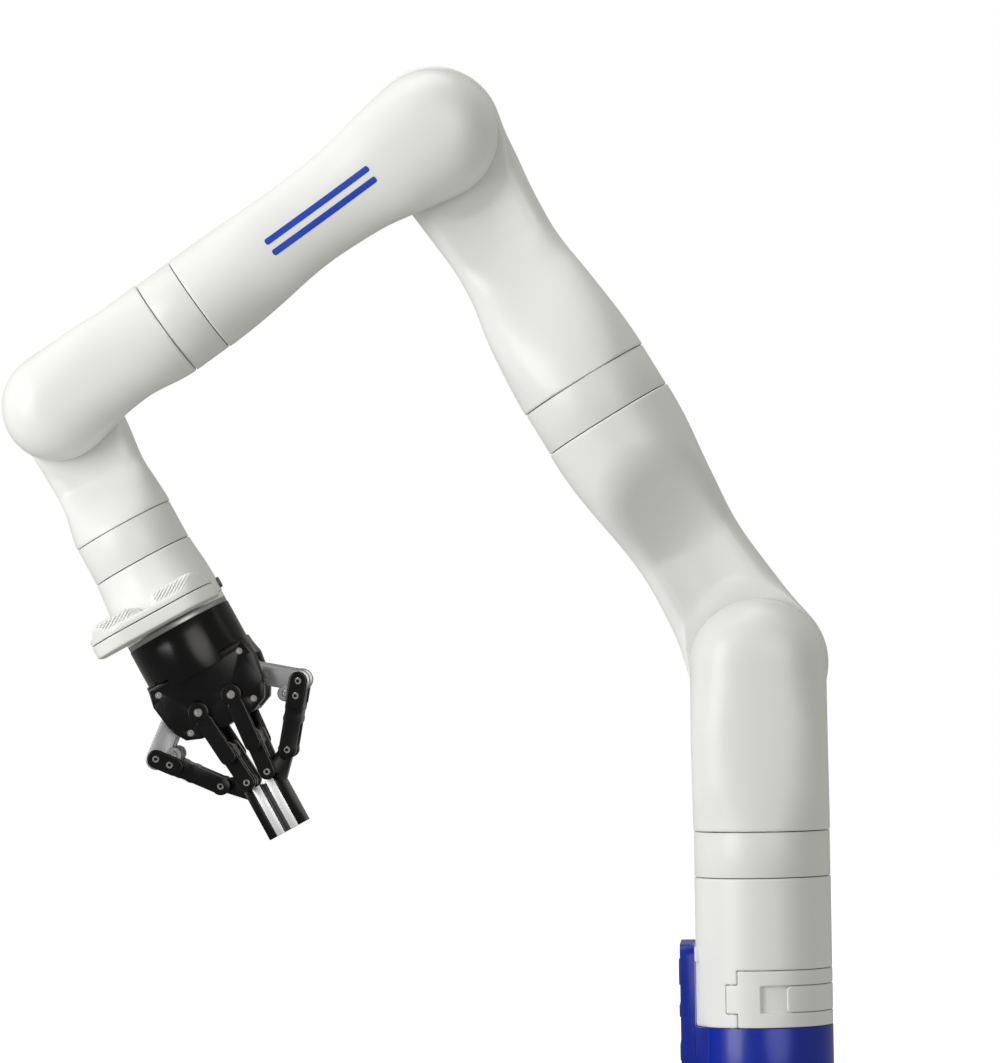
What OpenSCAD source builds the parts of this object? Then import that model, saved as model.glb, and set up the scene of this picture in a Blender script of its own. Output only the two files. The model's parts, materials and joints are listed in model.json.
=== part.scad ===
// Seven-joint collaborative robot arm on a clamped base, with a wrist camera
// module and a two-finger parallel gripper. Units: mm. Z up, base on z = 0.

/* [Base] */
// outer radius of the base, shoulder and upper arm
arm_r = 46.2; // [40:0.1:52]
// top of the blue base housing
base_h = 40.2; // [30:0.1:60]
// top of the clamp collar
clamp_top = 79.1; // [65:0.1:95]
// underside of the first joint ring
ring1_lo = 141.2; // [120:0.1:160]
// top of the first joint ring, where joint 1 turns
ring1_hi = 171.5; // [150:0.1:190]
// half width of the connector panel
panel_hw = 40; // [25:0.5:46]
// outer face of the connector panel, behind the axis
panel_x = 56.3; // [52:0.1:70]
// height of the connector panel
panel_h = 97; // [80:0.5:120]
// bolt circle of the four mounting holes
mount_pcd = 72; // [60:0.5:82]
// radius of a mounting hole
mount_hole_r = 3.3; // [2.5:0.1:4.5]

/* [Arm] */
// height of joint 2 over the floor
j2_z = 284.81; // [260:0.01:300]
// joint 2 to joint 4
upper_len = 420.76; // [380:0.01:440]
// joint 4 to joint 6
fore_len = 314.36; // [280:0.01:340]
// joint 6 to the tool face
tool_len = 167.5; // [150:0.1:180]
// tilt of the upper arm from upright, in the stored pose
tilt_2 = 30.69; // [0:0.01:120]
// bend at the elbow
bend_4 = 94.16; // [0:0.01:140]
// bend at the wrist
bend_6 = 82.95; // [0:0.01:120]
// roll of the tool
roll_7 = 3; // [-180:1:180]
// wall of a link shell
wall = 3.4; // [2:0.1:5]

/* [Gripper] */
// half stroke angle of a finger link, from closed to open
grip_open = 45.8; // [30:0.1:50]
// driver pivot, sideways
drv_x = 30.6; // [25:0.1:35]
// driver pivot, along the tool
drv_z = 54.9; // [50:0.1:60]
// inner knuckle pivot, sideways
inn_x = 12.7; // [10:0.1:16]
// inner knuckle pivot, along the tool
inn_z = 61.4; // [56:0.1:66]
// length of a finger pad
pad_len = 37.5; // [25:0.5:45]
// width of a finger pad
pad_w = 22; // [15:0.5:27]
// radius of the gripper housing
grip_r = 37.6; // [34:0.1:40]

/* [Hidden] */
$fn = 96;
gap = 0.35;
fit = 0.05;
seat = 0.3;
// direction of the clamp hinge, and where the outer knuckle plates lie across the gripper
hinge_a = -30;
knuckle_lo = 25.2;
knuckle_hi = 29;
q2 = tilt_2;
q4 = tilt_2 + bend_4;
q6 = tilt_2 + bend_4 + bend_6;
J2 = [0, 0, j2_z];
J4 = J2 + upper_len*[-sin(q2), 0, cos(q2)];
J6 = J4 + fore_len*[-sin(q4), 0, cos(q4)];
ring3_lo = 194.2;
ring3_hi = 224.7;
ring5_lo = 196.5;
ring5_hi = 222.9;
ring7_lo = 93.0;
ring7_hi = 119.6;

// [distance along the link, radius]
prof_u1 = [[0,46.4],[20,44.2],[40,40.6],[60,38.4],[82,36.8],[100,37.3],[120,39.6],[140,42.2],
    [160,44.7],[178,46.1],[ring3_lo,46.5]];
prof_u2 = [[ring3_hi + gap,46.5],[240,45.9],[256,44.7],[272,43.3],[290,40.8],[306,38.4],[322,36.7],
    [340,36.9],[360,38.4],[380,40.9],[400,43.4],[upper_len,46.6]];
prof_f = [[0,46.4],[18,43.6],[40,38.6],[56,34.7],[74,32.8],[96,31.7],[118,31.9],[140,33.4],
    [160,34.8],[178,35.5],[ring5_lo,35.7]];
prof_w1 = [[ring5_hi + gap,35.6],[236,35.1],[250,33.5],[262,33.2],[280,34.5],[298,36.4],
    [fore_len,37.6]];
prof_w2 = [[0,36.8],[20,34.0],[40,32.5],[58,32.0],[70,33.3],[80,35.0],[ring7_lo,35.6]];
prof_b = [[ring7_hi + gap,35.7],[130,36.3],[140,37.3],[163.5,37.7]];

// link frames: z along the link, y across the arm, x in the plane of the arm
module at2() translate(J2) rotate([0, -q2, 0]) children();
module at4() translate(J4) rotate([0, -q4, 0]) children();
module at6() translate(J6) rotate([0, -q6, 0]) children();
module atg() at6() translate([0, 0, tool_len]) rotate([0, 0, roll_7]) children();
// z turned to +y (side 1) or -y (side -1)
module across(side) rotate([-90*side, 0, 0]) children();
module lift(z) translate([0, 0, z]) children();

module turned(prof, inset, lo, hi) {
    rotate_extrude() polygon(concat([[0, lo]], [[lookup(lo, prof) - inset, lo]],
        [for (p = prof) if (p[0] > lo + 0.5 && p[0] < hi - 0.5) [p[1] - inset, p[0]]],
        [[lookup(hi, prof) - inset, hi]], [[0, hi]]));
}

// what a link leaves free for its neighbour: a flat face at the joint, then a ramp
module scoop(side, pts) rotate([90, 0, 90]) translate([0, 0, -60]) linear_extrude(120)
    polygon([for (p = pts) [-side*p[1], p[0]]]);

module dome(R, t, e, side) across(side) rotate_extrude() polygon(concat([[0, 0.2], [R - 1.2, 0.2],
    [R, 1.4]], [for (a = [0:15:90]) [R - e + e*cos(a), t - e + e*sin(a)]], [[0, t]]));

module act_housing(Rr, hr, Rd, Ld, rs, rc, Lc) difference() {
    union() {
        if (hr > 0) lift(-hr) cylinder(r=Rr, h=hr);
        lift(-hr - Ld) cylinder(r=Rd, h=Ld + (hr > 0 ? 2 : -0.2));
    }
    lift(-hr - Ld - 1) cylinder(r=rs + fit, h=hr + Ld + 3);
    lift(-hr - Ld - 1) cylinder(r=rc, h=Lc + 1);
}

module act_stator(hr, Ld, rc, Lc, rr) lift(-hr - Ld + 3) difference() {
    cylinder(r=rc - fit, h=Lc - 3);
    lift(-1) cylinder(r=rr + 0.6, h=Lc);
}

module act_output(hr, Ld, Rf, tf, rs, Lc, rr) difference() {
    union() {
        lift(gap) cylinder(r=Rf, h=tf - gap);
        lift(-hr - Ld + 3) cylinder(r=rs, h=hr + Ld - 3 + gap + 1);
        lift(-hr - Ld + 3) cylinder(r=rr, h=Lc - 6);
    }
    lift(-hr - Ld) cylinder(r=rs - 4, h=hr + Ld + tf + 1);
    for (a = [0:60:300]) rotate([0, 0, a]) translate([Rf - 5, 0, tf - 4]) cylinder(r=1.6, h=6);
}

// ---- base ----
module base_housing() color("royalblue") difference() {
    union() {
        rotate_extrude() polygon([[0, 0], [arm_r - 0.8, 0], [arm_r, 0.8], [arm_r, base_h], [0, base_h]]);
        translate([-46.6, -26, 0]) cube([20, 52, base_h]);
    }
    lift(12) cylinder(r=30, h=21);
    lift(30) cylinder(r=9, h=12);
    for (a = [45:90:315]) rotate([0, 0, a]) translate([mount_pcd/2, 0, -1])
        cylinder(r=mount_hole_r, h=11);
    rotate([0, 0, hinge_a]) translate([0, -43.7, base_h - 4]) cylinder(r=1.25, h=5);
}

module connector_panel() color("royalblue") difference() {
    translate([-panel_x, 0, 0]) rotate([90, 0, 90]) linear_extrude(panel_x - 46.6)
        polygon(concat([[-panel_hw, 0.5], [panel_hw, 0.5]],
            [for (a = [0:15:90]) [panel_hw - 9 + 9*cos(a), panel_h - 9 + 9*sin(a)]],
            [for (a = [90:15:180]) [9 - panel_hw + 9*cos(a), panel_h - 9 + 9*sin(a)]]));
    for (p = ports) translate([-panel_x - 1, p[0], p[1]]) rotate([0, 90, 0])
        if (p[3] == 0) cylinder(r=p[2], h=4);
        else translate([-p[3]/2, -p[2]/2, 0]) cube([p[3], p[2], 4]);
}

// [y, z, radius or width, height if it is square]
ports = [[-22, 78, 9, 0], [8, 78, 17, 14], [29, 78, 7.5, 0], [-22, 52, 15, 8], [0, 52, 15, 8],
    [22, 52, 13, 6], [-20, 24, 6, 0], [6, 24, 22, 12]];

module panel_ports() color("dimgray") for (p = ports) translate([-panel_x - 0.9, p[0], p[1]])
    rotate([0, 90, 0]) if (p[3] == 0) difference() {
        cylinder(r=p[2] - 0.1, h=3.9);
        lift(-1) cylinder(r=p[2] - 2.2, h=3);
    } else difference() {
        translate([-p[3]/2 + 0.1, -p[2]/2 + 0.1, 0]) cube([p[3] - 0.2, p[2] - 0.2, 3.9]);
        translate([-p[3]/2 + 1.3, -p[2]/2 + 1.3, -1]) cube([p[3] - 2.6, p[2] - 2.6, 3]);
    }

module base_shell() color("white") difference() {
    union() {
        lift(clamp_top + gap) cylinder(r=arm_r - 0.1, h=ring1_lo - clamp_top - gap);
        lift(base_h) cylinder(r=40, h=clamp_top - base_h + 2);
        translate([-46.6, -24, 84]) cube([16, 48, 10]);
    }
    lift(96) cylinder(r=arm_r - 0.1 - wall, h=50);
    lift(base_h + 5) cylinder(r=34, h=clamp_top - base_h - 1);
    lift(base_h - 1) cylinder(r=9, h=60);
    rotate([0, 0, hinge_a]) translate([0, -43.7, clamp_top - 1]) cylinder(r=1.25, h=5);
}

module sector(r0, r1, z0, z1, a0, a1) rotate([0, 0, a0 - 90]) lift(z0)
    rotate_extrude(angle=a1 - a0) translate([r0, 0]) square([r1 - r0, z1 - z0]);

module clamp_collar() color("white") sector(40.3, arm_r - 0.1, base_h, clamp_top, 152, 356.3 + hinge_a);

module clamp_band() color("white") {
    difference() {
        union() {
            sector(41.1, arm_r, base_h + gap, clamp_top - gap, hinge_a, 150);
            rotate([0, 0, hinge_a]) translate([0, -43.65, base_h + gap])
                cylinder(r=2.4, h=clamp_top - base_h - 2*gap);
        }
        rotate([0, 0, hinge_a]) translate([0, -43.7, base_h - 1]) cylinder(r=1.25, h=60);
        sector(43.3, arm_r + 3, 50.4, 68.6, -4, 99);
        rotate([0, 0, 100]) translate([0, -44.4, 50.2]) cylinder(r=2.8, h=18.6);
    }
    rotate([0, 0, 100]) translate([0, -44.4, 49.4]) cylinder(r=0.9, h=20.2);
}

module clamp_lever() color("white") difference() {
    union() {
        sector(43.6, arm_r, 50.8, 68.2, 22, 99.3);
        rotate([0, 0, 100]) translate([0, -44.4, 50.7]) cylinder(r=1.65, h=17.6);
    }
    rotate([0, 0, 100]) translate([0, -44.4, 50]) cylinder(r=0.95, h=20);
}

module clamp_pin() color("silver") rotate([0, 0, hinge_a]) translate([0, -43.7, base_h - 4])
    cylinder(r=1.2, h=clamp_top - base_h + 7);

// ---- joint 1 ----
module actuator_1_housing() color("whitesmoke") lift(ring1_hi)
    act_housing(45.9, ring1_hi - ring1_lo, 38, 34, 12, 30, 23);
module actuator_1_stator() color("peru") lift(ring1_hi)
    act_stator(ring1_hi - ring1_lo, 34, 30, 23, 20);
module actuator_1_output() color("silver") lift(ring1_hi)
    act_output(ring1_hi - ring1_lo, 34, 40, 8, 12, 23, 20);

module shoulder_shell() color("white") difference() {
    union() {
        difference() {
            lift(ring1_hi + gap) cylinder(r=46.3, h=j2_z - ring1_hi - gap);
            scoop(-1, [[181, 60], [199, -0.2], [350, -0.2], [350, 60]]);
        }
        translate(J2) dome(45.6, 45, 20, -1);
    }
    lift(ring1_hi - 1) cylinder(r=40 + seat, h=9);
    lift(ring1_hi) cylinder(r=9, h=30);
    difference() {
        lift(ring1_hi + 14) cylinder(r=42.6, h=62);
        scoop(-1, [[176, 60], [196, -3.8], [350, -3.8], [350, 60]]);
    }
    translate(J2) across(-1) cylinder(r=32.3, h=28);
}

// ---- joint 2 ----
module actuator_2_housing() color("silver") translate(J2) across(1) act_housing(0, 0, 32, 28, 10, 25, 16);
module actuator_2_stator() color("peru") translate(J2) across(1) act_stator(0, 28, 25, 16, 16);
module actuator_2_output() color("silver") translate(J2) across(1) act_output(0, 28, 30, 8, 10, 16, 16);

module half_arm_1_shell() color("white") at2() difference() {
    union() {
        difference() {
            turned(prof_u1, 0, 0, ring3_lo);
            scoop(1, [[-60, -0.2], [92, -0.2], [160, 60], [-60, 60]]);
        }
        dome(46.6, 45, 20, 1);
    }
    across(1) cylinder(r=30 + seat, h=8);
    difference() {
        turned(prof_u1, wall, 50, ring3_lo + 1);
        scoop(1, [[-60, -4], [95, -4], [168, 60], [-60, 60]]);
    }
}

// ---- joint 3 ----
module actuator_3_housing() color("whitesmoke") at2() lift(ring3_hi)
    act_housing(45.9, ring3_hi - ring3_lo, 38, 24, 12, 30, 20);
module actuator_3_stator() color("peru") at2() lift(ring3_hi)
    act_stator(ring3_hi - ring3_lo, 24, 30, 20, 20);
module actuator_3_output() color("silver") at2() lift(ring3_hi)
    act_output(ring3_hi - ring3_lo, 24, 40, 8, 12, 20, 20);

module half_arm_2_shell() color("white") at2() difference() {
    union() {
        difference() {
            turned(prof_u2, 0, ring3_hi + gap, upper_len);
            scoop(1, [[262, 60], [upper_len - 96, -0.2], [500, -0.2], [500, 60]]);
        }
        lift(upper_len) dome(46.8, 45, 20, 1);
    }
    lift(ring3_hi - 1) cylinder(r=40 + seat, h=9);
    lift(ring3_hi) cylinder(r=9, h=20);
    difference() {
        turned(prof_u2, wall, ring3_hi + 13, upper_len - 37);
        scoop(1, [[255, 60], [upper_len - 100, -4], [500, -4], [500, 60]]);
    }
    lift(upper_len) across(1) cylinder(r=32.3, h=28);
}

// ---- joint 4 ----
module actuator_4_housing() color("silver") translate(J4) across(-1) act_housing(0, 0, 32, 28, 10, 25, 16);
module actuator_4_stator() color("peru") translate(J4) across(-1) act_stator(0, 28, 25, 16, 16);
module actuator_4_output() color("silver") translate(J4) across(-1) act_output(0, 28, 30, 8, 10, 16, 16);

module forearm_outer() {
    difference() {
        turned(prof_f, 0, 0, ring5_lo);
        scoop(-1, [[-60, -0.2], [128, -0.2], [168, 60], [-60, 60]]);
    }
    dome(46.4, 43, 20, -1);
}

module forearm_shell() color("white") at4() difference() {
    forearm_outer();
    across(-1) cylinder(r=30 + seat, h=8);
    difference() {
        turned(prof_f, wall, 50, ring5_lo + 1);
        scoop(-1, [[-60, -4], [131, -4], [174, 60], [-60, 60]]);
    }
}

// two plain raised stripes
module forearm_emblem() color("blue") at4() intersection() {
    difference() {
        turned(prof_f, -0.8, 46, 136);
        turned(prof_f, 0, 40, 145);
    }
    union() for (x = [-6.6, 2.2]) translate([x, -50, 48]) cube([4.4, 30, 86]);
}

// ---- joint 5 ----
module actuator_5_housing() color("whitesmoke") at4() lift(ring5_hi)
    act_housing(35.2, ring5_hi - ring5_lo, 28.5, 18, 9, 22, 18);
module actuator_5_stator() color("peru") at4() lift(ring5_hi)
    act_stator(ring5_hi - ring5_lo, 18, 22, 18, 14);
module actuator_5_output() color("silver") at4() lift(ring5_hi)
    act_output(ring5_hi - ring5_lo, 18, 30, 7, 9, 18, 14);

module wrist_1_shell() color("white") at4() difference() {
    union() {
        difference() {
            turned(prof_w1, 0, ring5_hi + gap, fore_len);
            scoop(-1, [[236, 60], [254, -0.2], [500, -0.2], [500, 60]]);
        }
        lift(fore_len) dome(37.8, 37, 17, -1);
    }
    lift(ring5_hi - 1) cylinder(r=30 + seat, h=8);
    lift(ring5_hi) cylinder(r=7, h=16);
    difference() {
        turned(prof_w1, wall, ring5_hi + 11, fore_len - 31);
        scoop(-1, [[232, 60], [251, -4], [500, -4], [500, 60]]);
    }
    lift(fore_len) across(-1) cylinder(r=26.3, h=22);
}

// ---- joint 6 ----
module actuator_6_housing() color("silver") translate(J6) across(1) act_housing(0, 0, 26, 22, 8, 20, 12);
module actuator_6_stator() color("peru") translate(J6) across(1) act_stator(0, 22, 20, 12, 13);
module actuator_6_output() color("silver") translate(J6) across(1) act_output(0, 22, 24, 7, 8, 12, 13);

module wrist_2_shell() color("white") at6() difference() {
    union() {
        difference() {
            turned(prof_w2, 0, 0, ring7_lo);
            scoop(1, [[-60, -0.2], [60, -0.2], [86, 60], [-60, 60]]);
        }
        dome(37, 36, 17, 1);
    }
    across(1) cylinder(r=24 + seat, h=7);
    difference() {
        turned(prof_w2, wall, 40, ring7_lo + 1);
        scoop(1, [[-60, -4], [63, -4], [92, 60], [-60, 60]]);
    }
}

// ---- joint 7 ----
module actuator_7_housing() color("whitesmoke") at6() lift(ring7_hi)
    act_housing(35.2, ring7_hi - ring7_lo, 27, 5, 9, 22, 16);
module actuator_7_stator() color("peru") at6() lift(ring7_hi)
    act_stator(ring7_hi - ring7_lo, 5, 22, 16, 14);
module actuator_7_output() color("silver") at6() lift(ring7_hi)
    act_output(ring7_hi - ring7_lo, 5, 30, 7, 9, 16, 14);

module bracelet_shell() color("white") at6() difference() {
    turned(prof_b, 0, ring7_hi + gap, 163.5);
    lift(ring7_hi - 1) cylinder(r=30 + seat, h=8);
    lift(ring7_hi) cylinder(r=7, h=20);
    lift(ring7_hi + 11) cylinder(r=33, h=40);
    translate([-30, 0, 157.4]) rotate([0, -90, 0]) {
        cylinder(r=4.1, h=12);
        cylinder(r=5.6, h=5.2);
    }
    translate([-40, -60, 143.4]) cube([80, 32.5, 25]);
}

module bracelet_button() color("dimgray") at6() translate([-33.4, 0, 157.4]) rotate([0, -90, 0]) {
    cylinder(r=3.8, h=6.2);
    cylinder(r=5.2, h=1.4);
}

module vision_outline(e) polygon([[-37 + e, -28], [-37 + e, -52], [-31 + e, -62 + e], [-20, -70 + e],
    [-4, -75.5 + e], [20, -76 + e], [38, -73 + e], [48 - e, -65 + e], [54 - e, -52], [54 - e, -38],
    [49 - e, -28]]);

module vision_housing() color("white") at6() difference() {
    lift(143.5) linear_extrude(23) vision_outline(0);
    lift(147) linear_extrude(25) intersection() {
        vision_outline(3);
        translate([-60, -90]) square([130, 56]);
    }
}

module vision_window() color("black") at6() difference() {
    lift(163.5) linear_extrude(2.6) intersection() {
        vision_outline(3.3);
        translate([-60, -90]) square([130, 55.7]);
    }
    for (p = [[0, -56.4, 5.05], [27.5, -66, 3.55], [-20, -56.4, 3.55], [40, -56, 3.05]])
        translate([p[0], p[1], 160]) cylinder(r=p[2], h=10);
}

module vision_lenses() color("gray") at6() {
    translate([-26, -66, 153]) difference() {
        cube([70, 22, 8]);
        translate([-1, -1, -1]) cube([9, 9, 10]);
        translate([63, -1, -1]) cube([9, 9, 10]);
    }
    for (p = [[0, -56.4, 5], [-20, -56.4, 3.5], [40, -56, 3]])
        translate([p[0], p[1], 160]) cylinder(r=p[2], h=5.6);
    translate([27.5, -66, 156]) cylinder(r=3.5, h=9.6);
}

module tool_flange() color("whitesmoke") at6() difference() {
    union() {
        lift(163.5) cylinder(r=37.3, h=4);
        lift(158) cylinder(r=32.8, h=8);
    }
    lift(150) cylinder(r=14, h=30);
    for (a = [45:90:315]) rotate([0, 0, a]) translate([25, 0, 155]) cylinder(r=2.6, h=20);
    translate([-40, -60, 143.4]) cube([80, 32.5, 30]);
    translate([-30, 0, 157.4]) rotate([0, -90, 0]) cylinder(r=5.6, h=12);
}

// ---- gripper ----
module gripper_coupling() color("gray") atg() difference() {
    cylinder(r=37.2, h=3.6);
    lift(-1) cylinder(r=14, h=6);
    for (a = [45:90:315]) rotate([0, 0, a - roll_7]) translate([25, 0, -1]) cylinder(r=2.6, h=8);
}

module palm(h) translate([0, h/2, 0]) rotate([90, 0, 0]) linear_extrude(h) polygon([[-37, 30], [37, 30],
    [39, 44], [37, 62], [30, 74], [20, 78], [-20, 78], [-30, 74], [-37, 62], [-39, 44]]);

module gripper_body() color("#222222") atg() difference() {
    union() {
        lift(3.6) cylinder(r=grip_r, h=34.4);
        intersection() { palm(44); lift(3) cylinder(r=41, h=90); }
    }
    // slots for the links
    for (s = [-1, 1]) translate([s > 0 ? drv_x - 8.4 : -60 - drv_x + 8.4, -12, 44]) cube([60, 24, 60]);
    lift(10) cylinder(r=22, h=28);
    for (y = [22, -32]) translate([-50, y, 31.8]) cube([100, 10, 60]);
    for (s = [-1, 1]) {
        translate([s*drv_x, 24, drv_z]) rotate([90, 0, 0]) cylinder(r=3.05, h=48);
        translate([s*inn_x, 24, inn_z]) rotate([90, 0, 0]) cylinder(r=2.05, h=48);
    }
}

module gripper_faceplates() color("#2a2a2a") atg() for (m = [-1, 1]) translate([0, m > 0 ? 24.6 : -22, 0])
    rotate([90, 0, 0]) difference() {
        linear_extrude(2.6) polygon([[-36, 32], [36, 32], [38.5, 44], [36, 61], [29, 73], [19, 77],
            [-19, 77], [-29, 73], [-36, 61], [-38.5, 44]]);
        for (p = screw_at) translate([p[0], p[1], -1]) cylinder(r=2.3, h=5);
        for (s = [-1, 1]) translate([s*inn_x, inn_z, -1]) cylinder(r=2.05, h=5);
    }

screw_at = [[-31.3, 38.2], [31.3, 38.2], [-24.5, 71], [24.5, 71]];
module gripper_screws() color("silver") atg() {
    for (m = [-1, 1]) for (p = screw_at) translate([p[0], m*22, p[1]]) rotate([-90*m, 0, 0]) difference() {
        cylinder(r=2.2, h=2.8);
        lift(1.2) cylinder(r=1.1, h=3, $fn=6);
    }
    for (s = [-1, 1]) {
        translate([s*drv_x, 22, drv_z]) rotate([90, 0, 0]) cylinder(r=3, h=44);
        translate([s*inn_x, knuckle_hi, inn_z]) rotate([90, 0, 0]) cylinder(r=2, h=2*knuckle_hi);
    }
}

module gripper_drive() color("peru") atg() {
    lift(10) cylinder(r=21.9, h=20);
    lift(30) cylinder(r=8, h=7.9);
}

// closed positions of the right-hand linkage
D = [drv_x, drv_z];
N = [inn_x, inn_z];
function rot2(v, a) = [v[0]*cos(a) - v[1]*sin(a), v[0]*sin(a) + v[1]*cos(a)];
E = D + rot2([31.5, -3.8], grip_open);
P1 = D + rot2([37.6, 43.3], grip_open);
P2 = N + rot2([37.6, 43.3], grip_open);

// a bar with round ends in the plane of the fingers, from y0 to y1
module bar(a, b, r, y0, y1) {
    d = b - a;
    translate([0, y1, 0]) rotate([90, 0, 0]) linear_extrude(y1 - y0) {
        translate(a) circle(r=r);
        translate(b) circle(r=r);
        translate(a) rotate([0, 0, atan2(d[1], d[0])]) translate([0, 0.5 - r]) square([norm(d), 2*r - 1]);
    }
}
module pin_hole(p, r) translate([p[0], 30, p[1]]) rotate([90, 0, 0]) cylinder(r=r, h=60);

module driver(s) color("gray") atg() mirror([s < 0 ? 1 : 0, 0, 0]) difference() {
    bar(D, E, 7.6, -11.7, 11.7);
    pin_hole(D, 3.05);
    translate([20, -6.2, 40]) cube([50, 12.4, 60]);
}

module left_driver() driver(1);
module right_driver() driver(-1);
module left_link() link_all(1);
module right_link() link_all(-1);
module link_all(s) color("#222222") atg() mirror([s < 0 ? 1 : 0, 0, 0]) {
    bar(E, E + 0.55*(P1 - E), 6.2, -6.1, 6.1);
    for (m = [-1, 1]) {
        y0 = m > 0 ? 6.3 : -11.3;
        difference() {
            bar(E + 0.36*(P1 - E), P1, 6.2, y0, y0 + 5);
            bar(D, E, 7.9, -12, 12);
        }
    }
    bar(E + 0.38*(P1 - E), E + 0.55*(P1 - E), 6.2, -11.3, 11.3);
    translate([P1[0], 11.3, P1[1]]) rotate([90, 0, 0]) cylinder(r=2, h=22.6);
}

module inner_knuckle(s) color("#222222") atg() mirror([s < 0 ? 1 : 0, 0, 0]) difference() {
    union() {
        bar(N + 0.57*(P2 - N), N + 0.63*(P2 - N), 4.8, -knuckle_hi + 1, knuckle_hi - 1);
        for (m = [0, 1]) mirror([0, m, 0]) {
            bar(N, N + 0.6*(P2 - N), 4.6, knuckle_lo, knuckle_hi - 1);
            bar(N + 0.55*(P2 - N), P2, 4.7, 11.6, 14.6);
            translate([N[0], knuckle_hi, N[1]]) rotate([90, 0, 0])
                cylinder(r=7, h=knuckle_hi - knuckle_lo);
        }
    }
    pin_hole(N, 2.05);
    pin_hole(P2, 2.4);
}
module left_inner_knuckle() inner_knuckle(1);
module right_inner_knuckle() inner_knuckle(-1);

pad_z = 122.8;
module finger(s) color("#222222") atg() mirror([s < 0 ? 1 : 0, 0, 0]) difference() {
    union() {
        bar(P1, P2, 5, -6, 6);
        bar(P1, [10.5, 128], 4.2, -6, 6);
        translate([8.2, -pad_w/2, pad_z + 1]) cube([5.8, pad_w, pad_len - 1]);
        translate([P2[0], 14.6, P2[1]]) rotate([90, 0, 0]) cylinder(r=2, h=29.2);
    }
    pin_hole(P1, 2.05);
    translate([0, -12, pad_z + 0.9]) cube([8.2, 24, 20]);
}
module left_finger() finger(1);
module right_finger() finger(-1);

module pad_block(s) color("lightgray") atg() mirror([s < 0 ? 1 : 0, 0, 0])
    translate([2.3, -pad_w/2, pad_z + 1]) cube([5.9, pad_w, pad_len - 1]);
module left_pad_block() pad_block(1);
module right_pad_block() pad_block(-1);

module pad(s) color("#333333") atg() mirror([s < 0 ? 1 : 0, 0, 0])
    translate([0.2, -pad_w/2, pad_z + 2]) cube([2.1, pad_w, pad_len - 2]);
module left_pad() pad(1);
module right_pad() pad(-1);

base_housing();
connector_panel();
panel_ports();
base_shell();
clamp_collar();
clamp_band();
clamp_lever();
clamp_pin();
actuator_1_housing();
actuator_1_stator();
actuator_1_output();
shoulder_shell();
actuator_2_housing();
actuator_2_stator();
actuator_2_output();
half_arm_1_shell();
actuator_3_housing();
actuator_3_stator();
actuator_3_output();
half_arm_2_shell();
actuator_4_housing();
actuator_4_stator();
actuator_4_output();
forearm_shell();
forearm_emblem();
actuator_5_housing();
actuator_5_stator();
actuator_5_output();
wrist_1_shell();
actuator_6_housing();
actuator_6_stator();
actuator_6_output();
wrist_2_shell();
actuator_7_housing();
actuator_7_stator();
actuator_7_output();
bracelet_shell();
bracelet_button();
vision_housing();
vision_window();
vision_lenses();
tool_flange();
gripper_coupling();
gripper_body();
gripper_faceplates();
gripper_screws();
gripper_drive();
left_driver();
right_driver();
left_link();
right_link();
left_inner_knuckle();
right_inner_knuckle();
left_finger();
right_finger();
left_pad_block();
right_pad_block();
left_pad();
right_pad();
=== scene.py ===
import json
import math

import bmesh
import bpy
import numpy as np
import openvdb
from mathutils import Matrix, Vector

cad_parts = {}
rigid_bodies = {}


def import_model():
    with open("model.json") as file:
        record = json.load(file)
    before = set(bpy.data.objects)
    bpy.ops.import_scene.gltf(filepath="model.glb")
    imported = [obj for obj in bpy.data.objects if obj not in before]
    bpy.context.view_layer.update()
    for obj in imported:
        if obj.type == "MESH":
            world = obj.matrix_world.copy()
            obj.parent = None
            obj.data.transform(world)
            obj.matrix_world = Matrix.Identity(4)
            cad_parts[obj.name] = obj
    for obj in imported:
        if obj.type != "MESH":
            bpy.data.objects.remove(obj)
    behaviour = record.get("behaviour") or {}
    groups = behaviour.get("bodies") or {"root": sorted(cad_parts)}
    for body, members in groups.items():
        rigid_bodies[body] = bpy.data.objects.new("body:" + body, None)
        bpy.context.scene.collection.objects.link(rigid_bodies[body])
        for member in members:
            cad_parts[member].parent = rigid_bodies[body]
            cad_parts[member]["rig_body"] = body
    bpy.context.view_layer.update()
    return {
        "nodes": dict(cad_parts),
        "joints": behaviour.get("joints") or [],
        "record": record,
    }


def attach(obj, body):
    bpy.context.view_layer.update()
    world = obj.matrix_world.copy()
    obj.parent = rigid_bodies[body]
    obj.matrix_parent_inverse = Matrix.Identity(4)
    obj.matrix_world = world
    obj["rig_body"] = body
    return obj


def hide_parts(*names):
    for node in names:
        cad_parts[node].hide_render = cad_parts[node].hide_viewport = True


# The looks of a seven-joint robot arm with a two-finger gripper. Lengths here are in millimetres
# and are turned to metres where a mesh is made. Along a link, t runs from a joint into the shell,
# n lies across it in the plane that the arm bends in, and y lies along the joint's axis.
MM = 0.001
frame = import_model()

JOINTS = {j["name"]: j for j in frame["joints"]}


def joint_place(name):
    return Vector(JOINTS[name]["pos_m"]) / MM


J2 = joint_place("joint_2")
J4 = joint_place("joint_4")
J6 = joint_place("joint_6")


def leans(a, b):
    """How far the line from a to b leans from upright, in radians."""
    return math.atan2(a.x - b.x, b.z - a.z)


LEAN_2 = leans(J2, J4)
LEAN_4 = leans(J4, J6)
hand_axis = Vector(JOINTS["joint_7"]["axis"])
LEAN_6 = math.atan2(-hand_axis.x, hand_axis.z) % (2 * math.pi)
UPPER = (J4 - J2).length
FORE = (J6 - J4).length
TOOL_FACE = 167.5
HAND_ROLL = math.radians(3)

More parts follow.
